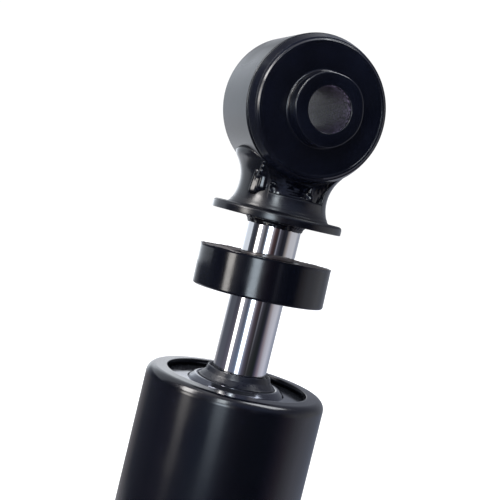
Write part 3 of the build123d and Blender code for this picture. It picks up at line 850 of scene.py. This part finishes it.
class SHOCK_OT_body_top(Operator):
    """Seal plate and rubber wiper lip in the recess"""

    bl_idname = "shock.body_top"
    bl_label = "Seal plate and lip"

    def execute(self, context):
        plate_z = RIM_Z - RECESS
        plate = turned("seal_plate_disc", rounded((
            (LIP_BASE_R - 0.02 * MM, PLATE_BOTTOM, 0),
            (SHELL_R - SHELL_WALL, PLATE_BOTTOM, 0),
            (SHELL_R - SHELL_WALL, plate_z, 0),
            (BOSS_R + 0.45 * MM, plate_z, 0.1 * MM),
            (BOSS_R + 0.05 * MM, plate_z + 0.45 * MM, 0.4 * MM),
            (BOSS_R - 1.0 * MM, BOSS_Z, 0.9 * MM),
            (LIP_BASE_R - 0.02 * MM, BOSS_Z, 0),
        )))
        fit(plate, polished_plate, "cylinder", "plate_steel", "seal_plate")

        def uneven(angle, radius, along):
            if along > BOSS_Z + 0.5 * MM and radius > ROD_R + 0.3 * MM:
                lift = 0.07 * MM * math.sin(3 * angle + 0.6) + 0.05 * MM * math.sin(7 * angle)
                return radius, along + lift - 0.07 * MM
            return radius, along

        touch = ROD_R + 0.03 * MM
        lip = turned("wiper_lip", rounded((
            (touch, LIP_Z - 1.5 * MM, 0),
            (touch, LIP_Z - 0.55 * MM, 0.06 * MM),
            (touch + 0.28 * MM, LIP_Z - 0.75 * MM, 0.12 * MM),
            (touch + 0.55 * MM, LIP_Z - 1.05 * MM, 0.15 * MM),
            (LIP_TOP_R - 0.22 * MM, LIP_Z - 0.02 * MM, 0.10 * MM),
            (LIP_TOP_R + 0.04 * MM, LIP_Z - 0.12 * MM, 0.12 * MM),
            (LIP_TOP_R + 0.34 * MM, LIP_Z - 1.2 * MM, 0.8 * MM),
            (LIP_BASE_R, BOSS_Z + 0.25 * MM, 0.3 * MM),
            (LIP_BASE_R + 0.35 * MM, BOSS_Z + 0.02 * MM, 0.05 * MM),
            (LIP_BASE_R, BOSS_Z - 0.3 * MM, 0),
            (LIP_BASE_R - 0.03 * MM, PLATE_BOTTOM, 0),
            (SEAL_R, PLATE_BOTTOM, 0),
            (SEAL_R, SEAL_BOTTOM, 0),
            (GROOVE_OUTER_R, SEAL_BOTTOM, 0),
            (GROOVE_OUTER_R, PLATE_BOTTOM - 1.5 * MM, 0),
            (GROOVE_INNER_R, PLATE_BOTTOM - 1.5 * MM, 0),
            (GROOVE_INNER_R, SEAL_BOTTOM, 0),
            (touch + 0.6 * MM, SEAL_BOTTOM, 0),
            (touch, SEAL_BOTTOM + 1.2 * MM, 0.2 * MM),
            (touch + 0.6 * MM, PLATE_BOTTOM - 1.0 * MM, 0),
            (touch + 0.6 * MM, LIP_Z - 2.4 * MM, 0),
        ), 5), warp=uneven)
        fit(lip, oiled_rubber, "cylinder", "seal_rubber", "oil_seal")
        return {"FINISHED"}


def add_bottom_cap():
    """Dished cap with a lip that stands inside the tube."""
    dome = []
    steps = 24
    drop = SHELL_BOTTOM - CAP_BOTTOM
    sphere_r = (SHELL_R**2 + drop**2) / (2 * drop)
    for step in range(steps + 1):
        radius = SHELL_R * step / steps
        sag = sphere_r - math.sqrt(sphere_r**2 - radius**2)
        dome.append((radius, CAP_BOTTOM + sag))
    lip_r = SHELL_R - SHELL_WALL
    inside_r = lip_r - SHELL_WALL
    inside_z = SHELL_BOTTOM + 0.5 * MM
    outline = dome + [(lip_r, SHELL_BOTTOM), (lip_r, CAP_LIP), (inside_r, CAP_LIP),
                      (inside_r, inside_z), (0, inside_z)]
    cap = turned("bottom_cap_dish", outline)
    fit(cap, gloss_enamel, "cylinder", "black_paint", "bottom_cap")


def add_seam_weld():
    """Rippled bead round the seam between cap and tube."""
    low, high = (corner.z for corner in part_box("bottom_seam_weld"))
    middle, half = (low + high) / 2, (high - low) / 2
    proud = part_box("bottom_seam_weld")[1].x - SHELL_R
    root_r = SHELL_R - 0.3 * MM

    def rippled(angle, radius, along):
        if radius > SHELL_R + 0.1 * MM:
            lumps = noise.noise((9 * math.sin(angle), 9 * math.cos(angle), 3))
            ripple = 0.10 * MM * math.sin(SEAM_RIPPLES * angle) + 0.12 * MM * lumps
            radius += ripple - 0.1 * MM
        return radius, along

    bead = [(root_r, low)]
    steps = 12
    for step in range(steps + 1):
        turn = math.pi * step / steps
        bead.append((SHELL_R + proud * math.sin(turn), middle - half * math.cos(turn)))
    bead.append((root_r, high))
    seam = turned("seam_weld_bead", bead, warp=rippled, count=SEAM_STEPS)
    fit(seam, run_enamel, "cylinder", "painted_weld", "bottom_seam_weld")


def add_lower_eye_welds():
    """Two beads of overlapping drops between cap and lower ring."""
    source = random.Random(41)
    balls = []
    count = 22
    for side in (-1, 1):
        for step in range(count):
            y = (step / (count - 1) - 0.5) * 2 * (RING_HALF - 0.9 * MM)
            size = source.uniform(1.25, 1.55) * MM
            x = side * (7.0 + source.uniform(-0.15, 0.15)) * MM
            z = math.sqrt(RING_R**2 - x**2) + 0.9 * MM
            balls.append((Vector((x, y, z)), (size * 1.3, size * 0.8, size)))
    weld = fused("lower_weld_beads", balls)
    fit(weld, run_enamel, "cylinder", "painted_weld", "lower_eye_weld")


class SHOCK_OT_body_foot(Operator):
    """Bottom cap, its seam weld and the lower eye's welds"""

    bl_idname = "shock.body_foot"
    bl_label = "Bottom cap and welds"

    def execute(self, context):
        add_bottom_cap()
        add_seam_weld()
        add_lower_eye_welds()
        return {"FINISHED"}


class SHOCK_OT_rod(Operator):
    """Chromed piston rod"""

    bl_idname = "shock.rod"
    bl_label = "Piston rod"

    def execute(self, context):
        outline = rounded((
            (0, ROD_BOTTOM, 0),
            (SPIGOT_R - 0.8 * MM, ROD_BOTTOM, 0),
            (SPIGOT_R, ROD_BOTTOM + 0.8 * MM, 0),
            (SPIGOT_R, ROD_SHOULDER, 0),
            (ROD_R, ROD_SHOULDER, 0.4 * MM),
            (ROD_R, ROD_TOP, 0.5 * MM),
            (0, ROD_TOP, 0),
        ))
        rod = turned("piston_rod_bar", outline)
        fit(rod, hard_chrome, "rod", "rod_chrome", "piston_rod")
        return {"FINISHED"}


class SHOCK_OT_bump_stop(Operator):
    """Rubber bump stop that sits a little askew on the rod"""

    bl_idname = "shock.bump_stop"
    bl_label = "Bump stop"

    def execute(self, context):
        flash = sizes().flash

        def moulded(angle, radius, along):
            if radius > STOP_SIDE_R - 0.25 * MM and along > STOP_TOP - 0.3 * MM:
                tear = noise.noise((6 * math.sin(angle), 6 * math.cos(angle), 1.7))
                fine = noise.noise((40 * math.sin(angle), 40 * math.cos(angle), 5.1))
                along += flash * (0.35 * tear + 0.3 * fine) - 0.1 * flash
            return radius, along

        outline = rounded((
            (STOP_BORE_R, STOP_BOTTOM + 0.3 * MM, 0),
            (STOP_BORE_R + 0.3 * MM, STOP_BOTTOM, 0.2 * MM),
            (STOP_SIDE_R, STOP_BOTTOM, 0.55 * MM),
            (STOP_SIDE_R, STOP_TOP - 0.55 * MM, 0.5 * MM),
            (STOP_SIDE_R + 0.08 * MM, STOP_TOP - 0.10 * MM, 0.05 * MM),
            (STOP_SIDE_R + 0.05 * MM, STOP_TOP, 0.03 * MM),
            (STOP_SIDE_R - 0.22 * MM, STOP_TOP - flash, 0.10 * MM),
            (STOP_BORE_R + 1.3 * MM, STOP_TOP - flash - 0.05 * MM, 0.4 * MM),
            (STOP_BORE_R, STOP_TOP - 1.8 * MM, 0),
        ), 6)
        stop = turned("bump_stop_ring", outline, warp=moulded, count=STOP_STEPS)
        centre = Vector((0, 0, (STOP_TOP + STOP_BOTTOM) / 2))
        ca, sa = math.cos(VIEW_AZIMUTH), math.sin(VIEW_AZIMUTH)
        lean = Matrix.Rotation(sizes().stop_lean, 4, Vector((sa, -ca, 0)))
        nod = Matrix.Rotation(STOP_NOD, 4, Vector((-ca, -sa, 0)))
        slack = Vector((-STOP_SHIFT * ca, -STOP_SHIFT * sa, -STOP_SAG))
        askew = Matrix.Translation(centre + slack) @ nod @ lean @ Matrix.Translation(-centre)
        stop.data.transform(askew)
        fit(stop, dusty_rubber, "bump_stop", "stop_rubber", "bump_stop")
        return {"FINISHED"}


def neck_radius(z):
    """Outside radius of the collar between its flange and the tips of its ears."""
    if z > EAR_BEND_Z:
        edge = neck_radius(EAR_BEND_Z)
        part = min(1.0, (z - EAR_BEND_Z) / (2.5 * MM))
        return edge + EAR_BULGE * math.sin(part * math.pi) - EAR_TUCK * part**3
    return NECK_R + NECK_CURVE_R - math.sqrt(NECK_CURVE_R**2 - (z - NECK_Z) ** 2)


def collar_edge(angle):
    """Height of the collar's top edge: low in front and behind, high where it hugs the ring."""
    z = NOTCH_Z
    step = 0.02 * MM
    while z < EAR_TIP_Z:
        radius = neck_radius(z)
        if abs(radius * math.cos(angle)) > RING_HALF - 0.1 * MM:
            break
        across = abs(radius * math.sin(angle))
        if across < RING_R and z > EYE_Z["upper"] - math.sqrt(RING_R**2 - across**2) + 0.15 * MM:
            break
        z += step
    return z


class SHOCK_OT_collar(Operator):
    """Pressed saddle collar: flange, waist and two ears that hug the ring"""

    bl_idname = "shock.collar"
    bl_label = "Saddle collar"

    def execute(self, context):
        flange_top = COLLAR_Z + FLANGE_THICKNESS
        waist_start = flange_top + 0.75 * MM
        rows = 30

        def outline(angle):
            edge = collar_edge(angle)
            bend = neck_radius(waist_start)
            corners = (
                (ROD_R, COLLAR_Z, 0),
                (COLLAR_R, COLLAR_Z, 0.2 * MM),
                (COLLAR_R, flange_top, 0.8 * MM),
                (bend + 0.25 * MM, flange_top - 0.08 * MM, 0.9 * MM),
                (bend - 0.05 * MM, waist_start + 1.2 * MM, 0),
            )
            points = rounded(corners, 6)[:-1]
            for row in range(rows + 1):
                z = waist_start + 0.3 * MM + (edge - waist_start - 0.75 * MM) * row / rows
                points.append((neck_radius(z), z))
            radius = neck_radius(edge)
            for inward, down in ((0.06, 0.16), (0.22, 0.03), (0.45, 0.0), (1.2, 0.0), (1.9, 0.3)):
                points.append((radius - inward * MM, edge - down * MM))
            points.append((NECK_R - 2.4 * MM, NOTCH_Z - 0.5 * MM))
            points.append((ROD_R, NOTCH_Z - 0.5 * MM))
            return points

        piece = turned("saddle_collar_pressing", outline, count=COLLAR_STEPS)
        fit(piece, satin_enamel, "rod", "black_paint", "saddle_collar")
        return {"FINISHED"}


def along_collar(angle_degrees, drop_mm, out_mm):
    """Point on the collar's outside at an angle from the front, a drop below the eye's centre."""
    z = EYE_Z["upper"] - drop_mm * MM
    return upright(math.radians(angle_degrees), neck_radius(z) + out_mm * MM, z)


def drip(start, end, thickness, width, facing):
    """Balls along a flat run of weld metal that faces a bearing in degrees."""
    azimuth = VIEW_AZIMUTH + math.radians(facing)
    sideways = Vector((math.cos(azimuth), math.sin(azimuth), 0)) * width
    balls = []
    half = 4
    count = max(3, int((end - start).length / (0.3 * MM)))
    for step in range(count + 1):
        part = step / count
        size = thickness * (1.0 - 0.25 * part**3)
        for across in range(-half, half + 1):
            point = start.lerp(end, part) + sideways * across / (2 * half) * (1.0 - 0.35 * part)
            balls.append((point, (size, size, size * 1.8)))
    return balls


def web_under_ring(y_sign, source):
    """Balls that close the gap between the ring's underside and the collar's edge."""
    balls = []
    columns, rows = 38, 7
    width_mm, left_mm = 15.6, 8.8
    for column in range(columns):
        x = (column / (columns - 1) * width_mm - left_mm) * MM
        ring_bottom = EYE_Z["upper"] - math.sqrt(RING_R**2 - x**2) + 0.2 * MM
        hollow = 0.9 * MM * max(0.0, (x - 3.2 * MM) / (3.6 * MM))
        edge_y = math.sqrt(max(neck_radius(NOTCH_Z) ** 2 - x**2, 0)) - 1.35 * MM - hollow
        for row in range(rows):
            part = row / (rows - 1)
            z = ring_bottom + (NOTCH_Z - 0.1 * MM - ring_bottom) * part
            y = RING_HALF - 0.9 * MM + (edge_y - RING_HALF + 0.9 * MM) * part**1.5
            size = source.uniform(0.70, 0.82) * MM
            balls.append((Vector((x * -y_sign, y_sign * y, z)), (size, size, size)))
    return balls


def add_rod_weld():
    """Crusty bead round the rod under the collar."""
    def crusty(angle, radius, along):
        crust = noise.noise((9 * math.sin(angle), 9 * math.cos(angle), along / MM))
        fine = noise.noise((26 * math.sin(angle), 26 * math.cos(angle), 2 * along / MM))
        if radius > ROD_R + 0.01 * MM:
            radius += (0.22 * crust + 0.12 * fine) * MM
        if along < COLLAR_Z - 0.9 * MM:
            along += (0.25 * crust + 0.15 * fine) * MM
        return radius, along

    bead = rounded((
        (ROD_R - 0.1 * MM, COLLAR_Z + 0.1 * MM, 0),
        (ROD_R - 0.1 * MM, WELD_FOOT, 0),
        (ROD_R + 0.16 * MM, WELD_FOOT + 0.08 * MM, 0.06 * MM),
        (ROD_R + 0.30 * MM, COLLAR_Z - 0.7 * MM, 0.5 * MM),
        (ROD_R + 0.95 * MM, COLLAR_Z + 0.1 * MM, 0),
    ), 8)
    rod_weld = turned("rod_weld_bead", bead, warp=crusty, count=ROD_WELD_STEPS)
    fit(rod_weld, run_enamel, "rod", "painted_weld", "rod_weld")


class SHOCK_OT_welds(Operator):
    """Painted weld metal between rod, collar and ring"""

    bl_idname = "shock.welds"
    bl_label = "Welds"

    def execute(self, context):
        for side, turn, y_sign, seed in (("front", 0.0, -1, 7), ("rear", 180.0, 1, 19)):
            source = random.Random(seed)
            balls = web_under_ring(y_sign, source)
            for start, end, thickness, width, facing in (
                ((-61, 20.3, 0.12), (-60, 16.4, -0.20), 0.60, 1.15, -29),
                ((-50.5, 19.2, 0.05), (-50, 15.4, -0.75), 0.62, 0.90, -6),
                ((-58, 20.9, -0.35), (-52, 20.4, -0.30), 0.42, 0.30, -29),
                ((-43, 19.4, -0.60), (-42, 17.8, -0.90), 0.50, 0.50, -6),
                ((16, 18.0, -0.9), (17, 17.2, -1.2), 0.45, 0.30, -6),
                ((19, 19.6, -0.7), (20, 18.9, -0.8), 0.42, 0.30, -6),
            ):
                first, last = (along_collar(angle + turn, drop, out)
                               for angle, drop, out in (start, end))
                balls += drip(first, last, thickness * MM, width * MM, facing + turn)
            for _ in range(16):
                angle = source.uniform(-48, -34) + turn
                spot = along_collar(angle, source.uniform(17.6, 20.2), -0.25)
                size = source.uniform(0.22, 0.36) * MM
                balls.append((spot, (size, size, size)))
            weld = fused(f"eye_weld_{side}_bead", balls)
            fit(weld, run_enamel, "rod", "painted_weld", f"eye_weld_{side}")
        add_rod_weld()
        return {"FINISHED"}


class SHOCK_OT_eye_rings(Operator):
    """Painted steel rings of both eyes"""

    bl_idname = "shock.eye_rings"
    bl_label = "Eye rings"

    def execute(self, context):
        edge = sizes().edge
        for end, body in (("upper", "rod"), ("lower", "cylinder")):
            ring = turned(f"{end}_eye_tube", rounded((
                (RING_BORE_R, -RING_HALF, edge),
                (RING_R, -RING_HALF, edge),
                (RING_R, 0, 0),
                (RING_R, RING_HALF, edge),
                (RING_BORE_R, RING_HALF, edge),
            )), place=round_bolt(EYE_Z[end]))
            fit(ring, satin_enamel, body, "black_paint", f"{end}_eye_ring")
        return {"FINISHED"}


class SHOCK_OT_bushes(Operator):
    """Rubber bush halves with flange and hub"""

    bl_idname = "shock.bushes"
    bl_label = "Rubber bushes"

    def execute(self, context):
        for end, body in (("upper", "rod"), ("lower", "cylinder")):
            for side, sign in (("front", -1), ("rear", 1)):
                seed = {"upper": 0.0, "lower": 2.4}[end] + sign

                def trimmed(angle, radius, along):
                    if abs(along) > FACE_Y + 1.0 * MM and radius > MOUTH_R + 0.6 * MM:
                        wave = 0.09 * math.sin(3 * angle + seed)
                        wave += 0.07 * math.sin(5 * angle + 2 * seed)
                        dent = noise.noise((2.2 * math.sin(angle), 2.2 * math.cos(angle), seed))
                        radius += (wave + 0.10 * dent - 0.05) * MM
                    return radius, along

                corners = [
                    (SLEEVE_R + 0.05 * MM, 0, 0),
                    (RING_BORE_R, 0, 0),
                    (RING_BORE_R, RING_HALF + 0.03 * MM, 0),
                    (FLANGE_R - 0.36 * MM, RING_HALF + 0.05 * MM, 0.05 * MM),
                    (FLANGE_R, RING_HALF + 0.44 * MM, 0.30 * MM),
                    (FLANGE_R - 0.84 * MM, FACE_Y - 0.56 * MM, 0.08 * MM),
                    (FACE_R + 0.28 * MM, FACE_Y - 0.42 * MM, 0.16 * MM),
                    (FACE_R - 0.06 * MM, FACE_Y, 0.20 * MM),
                    (FACE_R - 0.46 * MM, FACE_Y - 0.01 * MM, 0.10 * MM),
                    (FACE_R - 0.62 * MM, FACE_Y - 0.16 * MM, 0.14 * MM),
                    (HUB_R + 0.10 * MM, FACE_Y - 0.18 * MM, 0.55 * MM),
                    (HUB_R, HUB_END, 0.40 * MM),
                    (MOUTH_R, HUB_END, 0.14 * MM),
                    (MOUTH_R + 0.17 * MM, SLEEVE_HALF + 0.05 * MM, 0),
                    (SLEEVE_R + 0.05 * MM, SLEEVE_HALF + 0.05 * MM, 0),
                ]
                outline = [(radius, sign * along) for radius, along in rounded(corners, 8)]
                half = turned(f"{end}_bush_{side}_half", outline, place=round_bolt(EYE_Z[end]),
                              warp=trimmed)
                fit(half, moulded_rubber, body, "bush_rubber", f"{end}_bush_{side}")
        return {"FINISHED"}


class SHOCK_OT_sleeves(Operator):
    """Steel sleeves that the bolts clamp"""

    bl_idname = "shock.sleeves"
    bl_label = "Sleeves"

    def execute(self, context):
        for end in ("upper", "lower"):
            sleeve = turned(f"{end}_sleeve_tube", rounded((
                (BORE_R, -SLEEVE_HALF, 0.3 * MM),
                (SLEEVE_R, -SLEEVE_HALF, 0.3 * MM),
                (SLEEVE_R, SLEEVE_HALF, 0.3 * MM),
                (BORE_R, SLEEVE_HALF, 0.3 * MM),
            )), place=round_bolt(EYE_Z[end]))
            fit(sleeve, phosphated_bore, f"{end}_sleeve", "sleeve_steel", f"{end}_sleeve")
        return {"FINISHED"}


class SHOCK_OT_check_springs(Operator):
    """Light coil springs over both check plates"""

    bl_idname = "shock.check_springs"
    bl_label = "Check springs"

    def execute(self, context):
        for node, body, joint, turns in (
            ("piston_check_spring", "rod", "piston_check_lift", 3),
            ("base_check_spring", "cylinder", "base_check_lift", 2),
        ):
            low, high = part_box(node)
            coil_r = high.x - SPRING_WIRE_R
            spring = wound(f"{node}_coil", coil_r, SPRING_WIRE_R, low.z, high.z, turns)
            fit(spring, blued_spring_steel, body, "spring_steel", node)
            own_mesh(spring)
        return {"FINISHED"}


class SHOCK_OT_inner_pieces(Operator):
    """Finishes for the pieces inside the body, whose CAD shapes are kept"""

    bl_idname = "shock.inner_pieces"
    bl_label = "Inner pieces"

    def execute(self, context):
        for material, kept in (
            (finished(plain_metal, (0.50, 0.50, 0.52), 0.28, 300, name="turned_steel"),
             ("pressure_tube", "base_valve_rivet", "backup_washer", "piston_nut", "valve_spacer",
              "valve_stop", "rebound_stop")),
            (finished(blued_spring_steel),
             ("garter_spring", "compression_discs", "base_check_plate", "rebound_discs",
              "piston_check_plate")),
            (finished(plain_metal, (0.17, 0.165, 0.16), 0.55, 1500, 0.5, name="sintered_metal"),
             ("rod_guide", "base_valve_body", "piston")),
            (finished(plain_metal, (0.52, 0.33, 0.15), 0.36, 500, name="bearing_bronze"),
             ("rod_guide_bush",)),
            (finished(plain_metal, (0.12, 0.08, 0.05), 0.45, 700, 0.7, 0.0, name="filled_plastic"),
             ("piston_band",)),
            (finished(oiled_rubber), ("guide_o_ring", "rebound_bumper")),
        ):
            for node in kept:
                dress(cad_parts[node], material)
        return {"FINISHED"}


class SHOCK_PT_panel(Panel):
    """Buttons that build each piece"""

    bl_label = "Shock absorber"
    bl_idname = "SHOCK_PT_panel"
    bl_space_type = "VIEW_3D"
    bl_region_type = "UI"
    bl_category = "Shock"

    def draw(self, context):
        layout = self.layout
        for settings in (context.scene.shock_sizes, context.scene.shock_finish):
            for name in settings.__annotations__:
                layout.prop(settings, name)
        for step in STEPS:
            layout.operator(step.bl_idname)


STEPS = (
    SHOCK_OT_stage,
    SHOCK_OT_reserve_tube,
    SHOCK_OT_body_top,
    SHOCK_OT_body_foot,
    SHOCK_OT_rod,
    SHOCK_OT_bump_stop,
    SHOCK_OT_collar,
    SHOCK_OT_welds,
    SHOCK_OT_eye_rings,
    SHOCK_OT_bushes,
    SHOCK_OT_sleeves,
    SHOCK_OT_check_springs,
    SHOCK_OT_inner_pieces,
)
CLASSES = (ShockSizes, ShockFinish, *STEPS, SHOCK_PT_panel)


def register():
    for item in CLASSES:
        bpy.utils.register_class(item)
    bpy.types.Scene.shock_sizes = PointerProperty(type=ShockSizes)
    bpy.types.Scene.shock_finish = PointerProperty(type=ShockFinish)


def unregister():
    del bpy.types.Scene.shock_finish
    del bpy.types.Scene.shock_sizes
    for item in reversed(CLASSES):
        bpy.utils.unregister_class(item)


def main():
    """Builds every piece in order."""
    register()
    bpy.ops.shock.stage()
    bpy.ops.shock.reserve_tube()
    bpy.ops.shock.body_top()
    bpy.ops.shock.body_foot()
    bpy.ops.shock.rod()
    bpy.ops.shock.bump_stop()
    bpy.ops.shock.collar()
    bpy.ops.shock.welds()
    bpy.ops.shock.eye_rings()
    bpy.ops.shock.bushes()
    bpy.ops.shock.sleeves()
    bpy.ops.shock.check_springs()
    bpy.ops.shock.inner_pieces()


if __name__ == "__main__":
    main()
